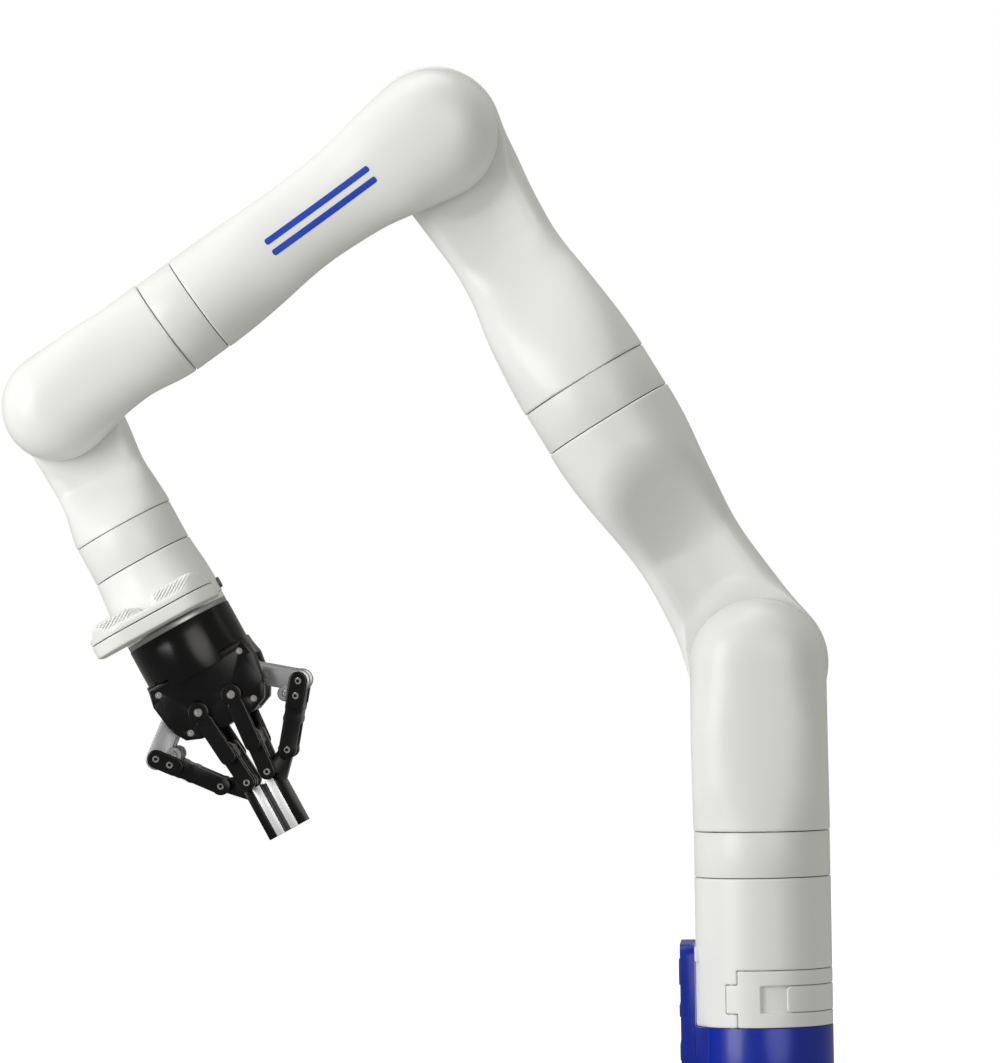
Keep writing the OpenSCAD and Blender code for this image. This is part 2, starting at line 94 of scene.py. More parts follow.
# the planes of the seams beside each actuator ring, from the start of its link
RING_1 = (141.2, 171.5)
RING_3 = (194.2, 224.7)
RING_5 = (196.5, 222.9)
RING_7 = (93.0, 119.6)
SEAM = 0.65


# ---------------------------------------------------------------- materials

def new_material(name):
    m = bpy.data.materials.new(name)
    m.use_nodes = True
    nodes = m.node_tree.nodes
    return m, nodes, m.node_tree.links, nodes["Principled BSDF"]


def mottled(nodes, links, scale, low, high, detail=3.0):
    """A noise in the object's own coordinates, mapped between two values."""
    place = nodes.new("ShaderNodeTexCoord")
    noise = nodes.new("ShaderNodeTexNoise")
    noise.inputs["Scale"].default_value = scale
    noise.inputs["Detail"].default_value = detail
    links.new(place.outputs["Object"], noise.inputs["Vector"])
    span = nodes.new("ShaderNodeMapRange")
    span.inputs["From Min"].default_value = 0.3
    span.inputs["From Max"].default_value = 0.7
    span.inputs["To Min"].default_value = low
    span.inputs["To Max"].default_value = high
    links.new(noise.outputs["Fac"], span.inputs["Value"])
    return noise, span


def material(name, colour, rough, metal=0.0, coat=0.0, coat_rough=0.1, vary=0.04, rough_vary=0.06,
             grain=900.0, relief=0.00002, stretch=None, shine=0.5):
    """A painted, moulded or machined surface: slightly uneven colour and gloss over a fine relief."""
    m, nodes, links, shader = new_material(name)
    shader.inputs["Metallic"].default_value = metal
    shader.inputs["Coat Weight"].default_value = coat
    shader.inputs["Coat Roughness"].default_value = coat_rough
    shader.inputs["Specular IOR Level"].default_value = shine
    _, tone = mottled(nodes, links, 14.0, 0.0, 1.0)
    ramp = nodes.new("ShaderNodeValToRGB")
    ramp.color_ramp.elements[0].color = tuple(c * (1 - vary) for c in colour) + (1,)
    ramp.color_ramp.elements[1].color = tuple(min(c * (1 + vary), 1) for c in colour) + (1,)
    links.new(tone.outputs["Result"], ramp.inputs["Fac"])
    links.new(ramp.outputs["Color"], shader.inputs["Base Color"])
    _, gloss = mottled(nodes, links, 60.0, rough - rough_vary / 2, rough + rough_vary / 2)
    links.new(gloss.outputs["Result"], shader.inputs["Roughness"])
    noise, _ = mottled(nodes, links, grain, 0.0, 1.0, detail=2.0)
    if stretch:
        squeeze = nodes.new("ShaderNodeMapping")
        squeeze.inputs["Scale"].default_value = stretch
        links.new(noise.inputs["Vector"].links[0].from_socket, squeeze.inputs["Vector"])
        links.new(squeeze.outputs["Vector"], noise.inputs["Vector"])
    bump = nodes.new("ShaderNodeBump")
    bump.inputs["Strength"].default_value = 0.35
    bump.inputs["Distance"].default_value = relief
    links.new(noise.outputs["Fac"], bump.inputs["Height"])
    links.new(bump.outputs["Normal"], shader.inputs["Normal"])
    return m


MATERIALS = {
    "shell_white": material("shell_white", (0.80, 0.80, 0.78), 0.40, coat=0.12, coat_rough=0.2, vary=0.006,
                            rough_vary=0.03, grain=500.0, relief=0.00001, shine=0.4),
    "ring_white": material("ring_white", (0.78, 0.78, 0.755), 0.42, coat=0.1, coat_rough=0.2, vary=0.006,
                           rough_vary=0.03, grain=700.0, relief=0.00001, shine=0.4),
    "base_blue": material("base_blue", (0.003, 0.020, 0.33), 0.30, coat=0.1, vary=0.04, grain=1100.0,
                          shine=0.35),
    "emblem_blue": material("emblem_blue", (0.004, 0.045, 0.42), 0.35, coat=0.3, vary=0.04, grain=900.0),
    "port_dark": material("port_dark", (0.03, 0.032, 0.035), 0.5, vary=0.15),
    "steel": material("steel", (0.62, 0.62, 0.61), 0.22, metal=1.0, vary=0.05, grain=1500.0),
    "aluminium": material("aluminium", (0.66, 0.67, 0.68), 0.34, metal=1.0, vary=0.05, grain=700.0,
                          stretch=(1, 1, 18)),
    "copper_winding": material("copper_winding", (0.55, 0.24, 0.09), 0.38, metal=1.0, vary=0.12,
                               grain=500.0, relief=0.0002, stretch=(1, 1, 12)),
    "button_grey": material("button_grey", (0.09, 0.09, 0.095), 0.42, vary=0.08),
    "window_black": material("window_black", (0.006, 0.006, 0.008), 0.06, coat=1.0, coat_rough=0.02,
                             vary=0.2),
    "lens_glass": material("lens_glass", (0.02, 0.03, 0.05), 0.05, coat=1.0, coat_rough=0.02, vary=0.2),
    "coupling_grey": material("coupling_grey", (0.42, 0.43, 0.44), 0.36, metal=0.85, vary=0.05),
    "gripper_black": material("gripper_black", (0.0022, 0.0020, 0.0020), 0.22, vary=0.15, rough_vary=0.08,
                              grain=1300.0, relief=0.00003, shine=0.3),
    "driver_grey": material("driver_grey", (0.36, 0.365, 0.37), 0.34, metal=0.9, vary=0.07, grain=900.0),
    "pad_block": material("pad_block", (0.80, 0.81, 0.82), 0.45, metal=0.6, vary=0.02, grain=300.0,
                          relief=0.000003),
    "pad_rubber": material("pad_rubber", (0.035, 0.036, 0.04), 0.62, vary=0.2, grain=700.0, relief=0.0001),
}

SLOT_OF = {p["node"]: p["material_slot"] for p in frame["record"]["subparts"]}


def dress(obj, slot):
    obj.data.materials.clear()
    obj.data.materials.append(MATERIALS[slot])


for node_name, node_obj in frame["nodes"].items():
    dress(node_obj, SLOT_OF[node_name])


# ---------------------------------------------------------------- fields

def step01(x):
    """0 below 0, 1 above 1, smooth between."""
    x = np.clip(x, 0.0, 1.0)
    return x * x * (3 - 2 * x)


def soft_max(a, b, k):
    h = np.clip(0.5 + 0.5 * (a - b) / k, 0.0, 1.0)
    return a * h + b * (1 - h) + k * h * (1 - h)


def soft_min(a, b, k):
    return -soft_max(-a, -b, k)


class Curve:
    """A smooth curve through a few points, level at both ends."""

    def __init__(self, *points):
        self.x = np.array([p[0] for p in points], float)
        self.y = np.array([p[1] for p in points], float)
        n = len(points)
        m, r = np.zeros((n, n)), np.zeros(n)
        m[0, 0] = m[-1, -1] = 1
        for i in range(1, n - 1):
            h0, h1 = self.x[i] - self.x[i - 1], self.x[i + 1] - self.x[i]
            m[i, i - 1], m[i, i], m[i, i + 1] = h1, 2 * (h0 + h1), h0
            r[i] = 3 * (h1 * (self.y[i] - self.y[i - 1]) / h0 + h0 * (self.y[i + 1] - self.y[i]) / h1)
        self.slope = np.linalg.solve(m, r)

    def __call__(self, at):
        at = np.clip(at, self.x[0], self.x[-1])
        i = np.clip(np.searchsorted(self.x, at) - 1, 0, len(self.x) - 2)
        h = self.x[i + 1] - self.x[i]
        u = (at - self.x[i]) / h
        a, b = self.y[i], self.y[i + 1]
        da, db = self.slope[i] * h, self.slope[i + 1] * h
        return (2 * u**3 - 3 * u**2 + 1) * a + (u**3 - 2 * u**2 + u) * da + (3 * u**2 - 2 * u**3) * b \
            + (u**3 - u**2) * db


def skin(field, lo, hi, step, place, flip=False, rounds=4):
    """The closed surface where a field is zero, as vertices in metres and quads. The first mesh comes
    from a grid of samples, and its vertices are then drawn onto the exact surface."""
    lo, hi = np.array(lo, float), np.array(hi, float)
    axes = [np.arange(a, b + step, step, dtype=np.float32) for a, b in zip(lo, hi)]
    x, y, z = np.meshgrid(*axes, indexing="ij")
    values = field(x, y, z).astype(np.float32)
    grid = openvdb.FloatGrid(3 * step)
    grid.copyFromArray(np.clip(values, -3 * step, 3 * step))
    points, quads = grid.convertToQuads(isovalue=0.0)
    v = np.array(points, float) * step + lo
    e = step * 0.15
    for _ in range(rounds):
        f = field(v[:, 0], v[:, 1], v[:, 2])
        g = np.stack([
            field(*(v + e * d).T) - field(*(v - e * d).T) for d in np.eye(3)
        ], 1) / (2 * e)
        size = np.maximum((g * g).sum(1), 0.05)
        move = -(f / size)[:, None] * g
        far = np.linalg.norm(move, axis=1, keepdims=True)
        v += move * np.minimum(1, 0.5 * step / np.maximum(far, 1e-9))
    v = v[:, :1] * place[0] + v[:, 1:2] * place[1] + v[:, 2:] * place[2] + place[3]
    quads = np.array(quads)
    if flip:
        quads = quads[:, ::-1]
    return v * MM, quads


def sharpen(obj, degrees):
    """Smooth shading, with creases sharper than the angle kept."""
    bm = bmesh.new()
    bm.from_mesh(obj.data)
    for f in bm.faces:
        f.smooth = True
    for edge in bm.edges:
        edge.smooth = len(edge.link_faces) != 2 or edge.calc_face_angle(0) < math.radians(degrees)
    bm.to_mesh(obj.data)
    bm.free()


def piece(name, vertices, faces, body, slot, replaced=(), crease=50):
    mesh = bpy.data.meshes.new(name)
    mesh.from_pydata([tuple(v) for v in vertices], [], [tuple(int(i) for i in f) for f in faces])
    mesh.validate()
    bm = bmesh.new()
    bm.from_mesh(mesh)
    bmesh.ops.recalc_face_normals(bm, faces=bm.faces)
    bm.to_mesh(mesh)
    bm.free()
    obj = bpy.data.objects.new(name, mesh)
    bpy.context.scene.collection.objects.link(obj)
    sharpen(obj, crease)
    mesh.materials.append(MATERIALS[slot])
    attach(obj, body)
    if replaced:
        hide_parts(*replaced)
    return obj


def link_axes(origin, lean, down=False):
    """Rows for n, y and t, and the origin. With down, t runs back along the link."""
    n = np.array([math.cos(lean), 0, math.sin(lean)])
    t = np.array([-math.sin(lean), 0, math.cos(lean)])
    return n, np.array([0.0, 1.0, 0.0]), (-t if down else t), np.array(origin)


class Shell:
    """Half of a link: a tube that swells to a round head on one side of a joint's middle plane, and is
    hollowed on the other side so that the next link can swing past.

    side: +1 if the head is on +y; plus, minus: curves of the half width towards +n and -n; depth: a
    curve of the half depth; head: (length past the joint, squareness of its edge); lip: radius of the
    flat ring round the joint; hollow: (depth, where it starts and ends to fade); ramp: (start, slope,
    how gently it starts); end: where the tube stops; melt: how much softer, or if negative crisper,
    the far end of the ramp is than the rest."""

    # how far the middle of a hollowed section moves to the head's side, as a share of the half depth
    shift = 0.38
    # edge rounding at the joint's ring and how much it grows away from it
    round_near, round_more = 2.6, 9
    # over what length a softer or a crisper foot comes in
    soft_foot, crisp_foot = 30, 14
    # half width of the hollow, as a share of the ring's radius
    hollow_width = 0.624

    def __init__(self, side, plus, minus, depth, head, lip, hollow, ramp, end, melt=0):
        self.side, self.plus, self.minus, self.depth = side, plus, minus, depth
        self.head, self.lip, self.hollow, self.ramp, self.end = head, lip, hollow, ramp, end
        self.melt = melt
        self.foot = self.soft_foot if melt > 0 else self.crisp_foot

    def outer(self, n, y, t):
        reach, square = self.head
        own = self.side * y
        along = np.maximum(t, 0)
        a = np.where(n > 0, self.plus(along), self.minus(along))
        b = self.depth(along)
        p = 2 + (square - 2) * (1 - step01(along / 110))
        flat = np.sqrt((n / a)**2 + (np.minimum(t, 0) / reach)**2)
        middle = self.shift * b * step01(along / 50) * (1 - step01((along - self.ramp[0]) / 50))
        thick = np.where(own > middle, b - middle, b)
        return ((flat**p + (np.abs(own - middle) / thick)**p)**(1 / p) - 1) * np.minimum(a, b)

    def level(self, n, t):
        """Height of the cut surface above the joint's middle plane, into the head's own side."""
        r = np.sqrt(n * n + t * t)
        deep, fade_from, fade_to = self.hollow
        wide = np.clip(1 - (n / (self.hollow_width * self.lip))**2, 0, 1)**1.5
        fade = 1 - step01((t - fade_from) / (fade_to - fade_from))
        dip = np.where(t > 0, deep * step01((r - self.lip) / 14) * fade * wide, 0)
        start, slope, gentle = self.ramp
        z = np.maximum(t - start, 0)
        return 0.3 + dip - slope * z * z / (z + gentle)

    def __call__(self, n, y, t):
        r = np.sqrt(n * n + t * t)
        k = self.round_near + self.round_more * step01((r - self.lip + 2) / 14)
        k = k + self.melt * step01((t - self.ramp[0]) / self.foot)
        cut = self.level(n, t) - self.side * y
        slope = self.ramp[1] * step01((t - self.ramp[0]) / 26)
        cut = cut / np.sqrt(1 + (0.7 * slope)**2)
        body = soft_max(self.outer(n, y, t), cut, k)
        return soft_max(body, t - self.end, 1.0)


def both(points, column):
    return Curve(*[(p[0], p[column]) for p in points])


SHELL_STEP = 1.1
SHELL_WIDE, SHELL_DEEP = 52.0, 50


def make_shell(name, body, node, shell, axes, flip):
    lowest = (-SHELL_WIDE, -SHELL_DEEP, -SHELL_WIDE)
    v, q = skin(shell, lowest, (SHELL_WIDE, SHELL_DEEP, shell.end + 3), SHELL_STEP, axes, flip)
    return piece(name, v, q, body, "shell_white", [node])


# half widths across each link: [t, on +n, on -n]
SHOULDER_W = [(0, 45.6, 46.6), (60, 45.7, 46.6), (113, 46.1, 46.1)]
LOWER_W = [(0, 47.2, 47.2), (20, 44.3, 44.2), (40, 41.5, 39.5), (60, 39.5, 37.2), (80, 37.9, 36.0),
           (100, 38.1, 36.6), (120, 40.1, 38.9), (140, 42.2, 42.0), (165, 45.2, 45.4), (194, 46.4, 46.5)]
HIGHER_W = [(0, 46.8, 46.8), (20, 43.6, 43.4), (40, 41.2, 40.5), (60, 38.7, 38.6), (80, 37.2, 36.7),
            (100, 36.9, 36.6), (120, 39.3, 38.9), (140, 41.7, 42.2), (165, 44.6, 44.8), (196, 46.3, 46.5)]
FORE_W = [(0, 44.6, 44.6), (20, 42.8, 41.4), (40, 39.1, 37.4), (60, 35.7, 33.2), (80, 33.9, 31.2),
          (100, 33.2, 30.2), (120, 33.0, 30.8), (140, 33.8, 32.7), (165, 35.3, 34.4), (196, 35.6, 35.5)]
WRIST_1_W = [(0, 38.0, 36.8), (15, 37.4, 35.3), (30, 36.6, 32.8), (45, 35.7, 31.7), (58, 34.6, 31.7),
             (74, 34.8, 34.0), (91, 35.5, 35.4)]
WRIST_2_W = [(0, 36.5, 36.8), (20, 32.6, 36.2), (40, 31.8, 34.4), (58, 31.3, 32.6), (72, 32.6, 33.8),
             (82, 34.5, 34.9), (93, 35.6, 35.6)]

make_shell("shoulder_skin", "shoulder", "shoulder_shell", Shell(
    side=-1, plus=both(SHOULDER_W, 1), minus=both(SHOULDER_W, 2), depth=Curve((0, 45), (113, 46.1)),
    head=(43.6, 2.5), lip=48.0, hollow=(5, 60, 80), ramp=(81, 3.6, 2),
    end=J2.z - RING_1[1] - SEAM, melt=-8.5), link_axes(J2, 0, down=True), True)
make_shell("half_arm_1_skin", "half_arm_1", "half_arm_1_shell", Shell(
    side=1, plus=both(LOWER_W, 1), minus=both(LOWER_W, 2), depth=Curve((0, 45), (100, 44), (194, 46.4)),
    head=(47.0, 2.5), lip=48.6, hollow=(6, 80, 150), ramp=(88, 1.25, 60),
    end=RING_3[0] - SEAM), link_axes(J2, LEAN_2), False)
make_shell("half_arm_2_skin", "half_arm_2", "half_arm_2_shell", Shell(
    side=1, plus=both(HIGHER_W, 1), minus=both(HIGHER_W, 2), depth=Curve((0, 45), (100, 44), (196, 46.4)),
    head=(46.8, 2.5), lip=48.4, hollow=(5.5, 62, 112), ramp=(86, 0.66, 26),
    end=UPPER - RING_3[1] - SEAM, melt=9), link_axes(J4, LEAN_2, down=True), True)
FOREARM = Shell(
    side=-1, plus=both(FORE_W, 1), minus=both(FORE_W, 2),
    depth=Curve((0, 43), (40, 40.2), (70, 36.4), (105, 34.4), (150, 35), (196, 35.6)),
    head=(44.4, 2.5), lip=48.4, hollow=(8, 90, 118), ramp=(126, 1.5, 8), end=RING_5[0] - SEAM)
make_shell("forearm_skin", "forearm", "forearm_shell", FOREARM, link_axes(J4, LEAN_4), False)
make_shell("wrist_1_skin", "wrist_1", "wrist_1_shell", Shell(
    side=-1, plus=both(WRIST_1_W, 1), minus=both(WRIST_1_W, 2), depth=Curve((0, 37), (50, 35), (91, 35.5)),
    head=(38.0, 2.5), lip=39.6, hollow=(4, 44, 56), ramp=(56, 3.2, 2),
    end=FORE - RING_5[1] - SEAM, melt=-8.5), link_axes(J6, LEAN_4, down=True), True)
make_shell("wrist_2_skin", "wrist_2", "wrist_2_shell", Shell(
    side=1, plus=both(WRIST_2_W, 1), minus=both(WRIST_2_W, 2), depth=Curve((0, 36), (50, 35), (93, 35.6)),
    head=(37.0, 2.5), lip=39.6, hollow=(3, 28, 56), ramp=(54, 1.6, 8),
    end=RING_7[0] - SEAM, melt=3), link_axes(J6, LEAN_6), False)


# ---------------------------------------------------------------- base, bracelet, camera module, emblem

def rounded_box(q, size, radius):
    """Distance to a box with rounded edges. q: offsets from its middle, size: half lengths."""
    q = [np.abs(a) - (s - radius) for a, s in zip(q, size)]
    outside = np.sqrt(sum(np.maximum(a, 0)**2 for a in q))
    inside = q[0]
    for a in q[1:]:
        inside = np.maximum(inside, a)
    return outside + np.minimum(inside, 0) - radius


BASE_R, BASE_FOOT, BASE_TOP = 46.1, 40.5, RING_1[0] - SEAM
BAND_TOP, BAND_END, BAND_MIDDLE = 79.2, 151.0, 59.7
BAND_ROUND = 0.8
COLLAR_INNER, BAND_INNER, RECESS_FLOOR = 40.6, 41.2, 43.3
# where the clamp's band starts, in degrees from the front: over its height, and at its hinge tab
BAND_FROM, TAB_FROM, TAB_HALF = -23.7, -34.5, 10.0
LEVER_FROM, LEVER_TO, LEVER_HALF, LEVER_MIDDLE = 19.8, 98.6, 8.7, 59.5
RECESS_FROM, RECESS_TO, RECESS_HALF = -3.0, 101.8, 9.2


def around(x, y):
    """Angle round the base from the front, in degrees."""
    return (np.degrees(np.arctan2(x, -y)) + 120) % 360 - 120


def arc(degrees):
    return degrees * BASE_R * math.pi / 180


def band_outline(x, y, z, gap):
    """Below 0 where the clamp's band lies, drawn in by a gap."""
    turn = around(x, y)
    height = np.maximum(z - BAND_TOP, BASE_FOOT - 5 - z)
    full = soft_max(arc(BAND_FROM - turn), height, BAND_ROUND)
    tab = soft_max(arc(TAB_FROM - turn), np.abs(z - BAND_MIDDLE) - TAB_HALF, BAND_ROUND)
    return soft_max(soft_min(full, tab, 0.3), arc(turn - BAND_END), BAND_ROUND) + gap


def base_tube(x, y, z):
    """The white column with its collar, open where the clamp's band lies, and a neck to the panel."""
    r = np.sqrt(x * x + y * y)
    tube = soft_max(soft_max(r - BASE_R, BASE_FOOT - z, 0.9), z - BASE_TOP, 0.9)
    opening = soft_max(band_outline(x, y, z, 0), COLLAR_INNER - r, BAND_ROUND)
    tube = soft_max(tube, -opening, 0.7)
    neck = rounded_box((x + 38.3, y, z - 89), (8.3, 16, 5), 1.0)
    return soft_min(tube, neck, 0.5)


def band(x, y, z):
    """The clamp's band, with the recess that the lever lies in."""
    r = np.sqrt(x * x + y * y)
    turn = around(x, y)
    ring = soft_max(soft_max(r - BASE_R - 0.05, BAND_INNER - r, 0.5), BASE_FOOT + 0.1 - z, 0.7)
    ring = soft_max(ring, band_outline(x, y, z, 0.45), 0.7)
    sides = soft_max(np.abs(z - LEVER_MIDDLE) - RECESS_HALF, arc(RECESS_FROM - turn), 1.5)
    floor_r = RECESS_FLOOR + 2.4 * step01((2.0 - turn) / 9.0)
    recess = soft_max(soft_max(sides, arc(turn - RECESS_TO), BAND_ROUND), floor_r - r, BAND_ROUND)
    return soft_max(ring, -recess, BAND_ROUND)


def lever(x, y, z):
    r = np.sqrt(x * x + y * y)
    middle, half = (LEVER_FROM + LEVER_TO) / 2, (LEVER_TO - LEVER_FROM) / 2
    flat = rounded_box((arc(around(x, y) - middle), z - LEVER_MIDDLE), (arc(half), LEVER_HALF), 2.8)
    return soft_max(soft_max(flat, r - 46.2, 0.8), 43.65 - r, 0.3)


WORLD_AXES = (*np.eye(3), np.zeros(3))
v, q = skin(band, (-30, -50, 38), (50, 48, 82), 0.8, WORLD_AXES)
piece("band_skin", v, q, "clamp_band", "shell_white", ["clamp_band"])
v, q = skin(lever, (10, -48, 48), (48, 12, 71), 0.6, WORLD_AXES)
piece("lever_skin", v, q, "clamp_lever", "shell_white", ["clamp_lever"])
v, q = skin(base_tube, (-50, -50, 37), (50, 50, 144), 0.9, WORLD_AXES)
piece("base_skin", v, q, "base", "shell_white", ["base_shell", "clamp_collar"])

HAND_AXES = link_axes(J6, LEAN_6)
BRACELET_R = Curve((119, 35.6), (130, 36.3), (142, 37.5), (165, 37.8))


def bracelet(n, y, t):
    tube = np.sqrt(n * n + y * y) - BRACELET_R(t)
    return soft_max(soft_max(tube, RING_7[1] + SEAM - t, 1.0), t - 163.2, 1.0)


v, q = skin(bracelet, (-41, -41, 117), (41, 41, 166), 1.1, HAND_AXES)
piece("bracelet_skin", v, q, "hand", "shell_white", ["bracelet_shell"])

MODULE_MIDDLE, MODULE_HALF = (8.5, -38.0), (45.5, 38.0)
MODULE_SEAM = 157.0
# humps on the back of the camera module: [n, half width, top]
HUMPS = [(-14.5, 19.0, 144.2), (31.5, 17.5, 145.2)]
RIB_PITCH = 3.4


def module_outline(n, y):
    return rounded_box((n - MODULE_MIDDLE[0], y - MODULE_MIDDLE[1]), MODULE_HALF, 27.0)


def module_back(n, y, t):
    slab = soft_max(module_outline(n, y), 152.3 - t, 3.0)
    body = slab
    for middle, half, top in HUMPS:
        ribs = np.sin(2 * np.pi * (n - 1.5 * (t - top)) / RIB_PITCH)
        ribs = ribs * step01((t - top - 0.6) / 1.5) * step01((half - 3 - np.abs(n - middle)) / 3)
        hump = rounded_box((n - middle, y + 48.0, t - top - 12), (half, 25.0, 12.0), 8.0)
        body = soft_min(body, hump + 0.55 * ribs * (y < -52), 2.5)
    return soft_max(soft_max(body, module_outline(n, y), 1.0), t - MODULE_SEAM + 0.3, 0.6)


def module_front(n, y, t):
    rim = soft_max(module_outline(n, y), MODULE_SEAM + 0.3 - t, 0.6)
    return soft_max(rim, t - 166.4, 1.4)


v, q = skin(module_back, (-40, -79, 142), (57, -20, 159), 0.55, HAND_AXES)
piece("vision_cover", v, q, "hand", "shell_white", ["vision_housing"])
v, q = skin(module_front, (-40, -79, 155), (57, -20, 168), 0.7, HAND_AXES)
piece("vision_rim", v, q, "hand", "shell_white")


def stripe(middle):
    def field(n, y, t):
        proud = FOREARM.outer(n, y, t)
        flat = rounded_box((n - middle, t - 91), (2.2, 43), 1.6)
        return soft_max(soft_max(proud - 0.85, flat, 0.5), np.maximum(-1.2 - proud, y), 0.3)
    return field


for k, middle in enumerate((-4.4, 4.4)):
    v, q = skin(stripe(middle), (middle - 4, -46, 45), (middle + 4, -26, 137), 0.42, link_axes(J4, LEAN_4))
    piece(f"emblem_stripe_{k + 1}", v, q, "forearm", "emblem_blue", ["forearm_emblem"] if k == 0 else ())


# ---------------------------------------------------------------- CAD nodes with softened edges

def softened(node, width, angle=32):
    """A copy of a CAD node whose sharp edges are rounded, shown instead of it."""
    source = frame["nodes"][node]
    bm = bmesh.new()
    bm.from_mesh(source.data)
    bmesh.ops.remove_doubles(bm, verts=bm.verts, dist=2e-6)
    bmesh.ops.dissolve_limit(bm, angle_limit=math.radians(0.6), verts=bm.verts, edges=bm.edges)
    sharp = [e for e in bm.edges if len(e.link_faces) == 2 and e.calc_face_angle(0) > math.radians(angle)]
    bmesh.ops.bevel(bm, geom=sharp, offset=width * MM, segments=2, profile=0.5, affect="EDGES",
                    clamp_overlap=True)
    bmesh.ops.triangulate(bm, faces=[f for f in bm.faces if len(f.verts) > 4])
    mesh = bpy.data.meshes.new(node + "_finish")
    bm.to_mesh(mesh)
    bm.free()
    obj = bpy.data.objects.new(node + "_finish", mesh)
    bpy.context.scene.collection.objects.link(obj)
    sharpen(obj, 38)
    slot = SLOT_OF[node]
    mesh.materials.append(MATERIALS[slot])
    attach(obj, source["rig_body"])
    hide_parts(node)
    return obj


# how wide the rounding of each node is, in millimetres
SOFT_EDGES = {
    "base_housing": 0.5, "connector_panel": 0.9, "panel_ports": 0.2, "actuator_1_housing": 0.4,
    "actuator_3_housing": 0.4, "actuator_5_housing": 0.4, "actuator_7_housing": 0.4,
    "bracelet_button": 0.5, "tool_flange": 0.3, "gripper_coupling": 0.4, "gripper_body": 0.7,
    "gripper_faceplates": 0.9, "left_driver": 0.7, "right_driver": 0.7, "left_link": 0.6,
    "right_link": 0.6, "left_inner_knuckle": 0.6, "right_inner_knuckle": 0.6, "left_finger": 0.6,
    "right_finger": 0.6, "left_pad_block": 0.4, "right_pad_block": 0.4, "left_pad": 0.3,
    "right_pad": 0.3,
}
for node_name, edge in SOFT_EDGES.items():
    finish = softened(node_name, edge)
    # the panel stands so close to the column that its shade would darken it
    if node_name in ("connector_panel", "panel_ports"):
        finish.visible_shadow = False
        finish.visible_diffuse = False


# ---------------------------------------------------------------- gripper: link ends, bosses and screws

def grip_axes():
    n, y, t, origin = HAND_AXES
    across = n * math.cos(HAND_ROLL) + y * math.sin(HAND_ROLL)
    through = -n * math.sin(HAND_ROLL) + y * math.cos(HAND_ROLL)
    return across, through, t, origin + TOOL_FACE * t


GRIP_AXES = grip_axes()
# pivots of one side of the finger linkage as it is shown: [across, along] from the tool face
PIVOT_E, PIVOT_P1 = np.array((55.28, 74.83)), np.array((25.77, 112.05))
PIVOT_N, PIVOT_P2 = np.array((12.7, 61.4)), np.array((7.87, 118.54))
LINK_WAY = (PIVOT_P1 - PIVOT_E) / np.linalg.norm(PIVOT_P1 - PIVOT_E)
ARM_WAY = (PIVOT_P2 - PIVOT_N) / np.linalg.norm(PIVOT_P2 - PIVOT_N)


TURNED_SIDES = 24


def lathe(name, centre, profile, hand, front, body, slot, hexed=False):
    """A turned part on the gripper. profile: [radius, height along the pivot]; the first and last rings
    are closed, and with hexed the last two rings are hexagons."""
    count = TURNED_SIDES
    across, through, along, origin = GRIP_AXES
    verts, faces = [], []
    for k, (radius, height) in enumerate(profile):
        for i in range(count):
            a = 2 * math.pi * i / count
            r = radius
            if hexed and k >= len(profile) - 2:
                r = radius * math.cos(math.pi / 6) / math.cos((a % (math.pi / 3)) - math.pi / 6)
            x = hand * centre[0] + r * math.cos(a)
            z = centre[1] + r * math.sin(a)
            verts.append(x * across + front * height * through + z * along + origin)
    for k in range(len(profile) - 1):
        for i in range(count):
            j = (i + 1) % count
            faces.append((k * count + i, k * count + j, (k + 1) * count + j, (k + 1) * count + i))
    faces.append(tuple(range(count)))
    faces.append(tuple(range((len(profile) - 1) * count, len(profile) * count)))
    return piece(name, np.array(verts) * MM, faces, body, slot, crease=35)


def screw(name, centre, face, radius, hand, front, body):
    """A round screw head with a hexagon socket, standing on a face."""
    profile = [(radius, face - 1.2), (radius, face + 0.7), (radius - 0.5, face + 1.1),
               (radius * 0.58, face + 1.1), (radius * 0.56, face - 0.3)]
    lathe(name, centre, profile, hand, front, body, "steel", hexed=True)


EDGE = 0.9
PLATE_STEP = 0.7


def bar_field(a, b, radius, lo, hi):
    """A flat bar with round ends from a to b, between two heights along the pivots."""
    def field(x, y, z):
        px, pz = x - a[0], z - a[1]
        d = b - a
        u = np.clip((px * d[0] + pz * d[1]) / (d @ d), 0, 1)
        side = np.sqrt((px - u * d[0])**2 + (pz - u * d[1])**2) - radius
        return soft_max(soft_max(side, lo - y, EDGE), y - hi, EDGE)
    return field


def side_of(hand, front):
    """The gripper's axes, turned to one side of its middle and to its front or back."""
    across, through, along, origin = GRIP_AXES
    return hand * across, front * through, along, origin


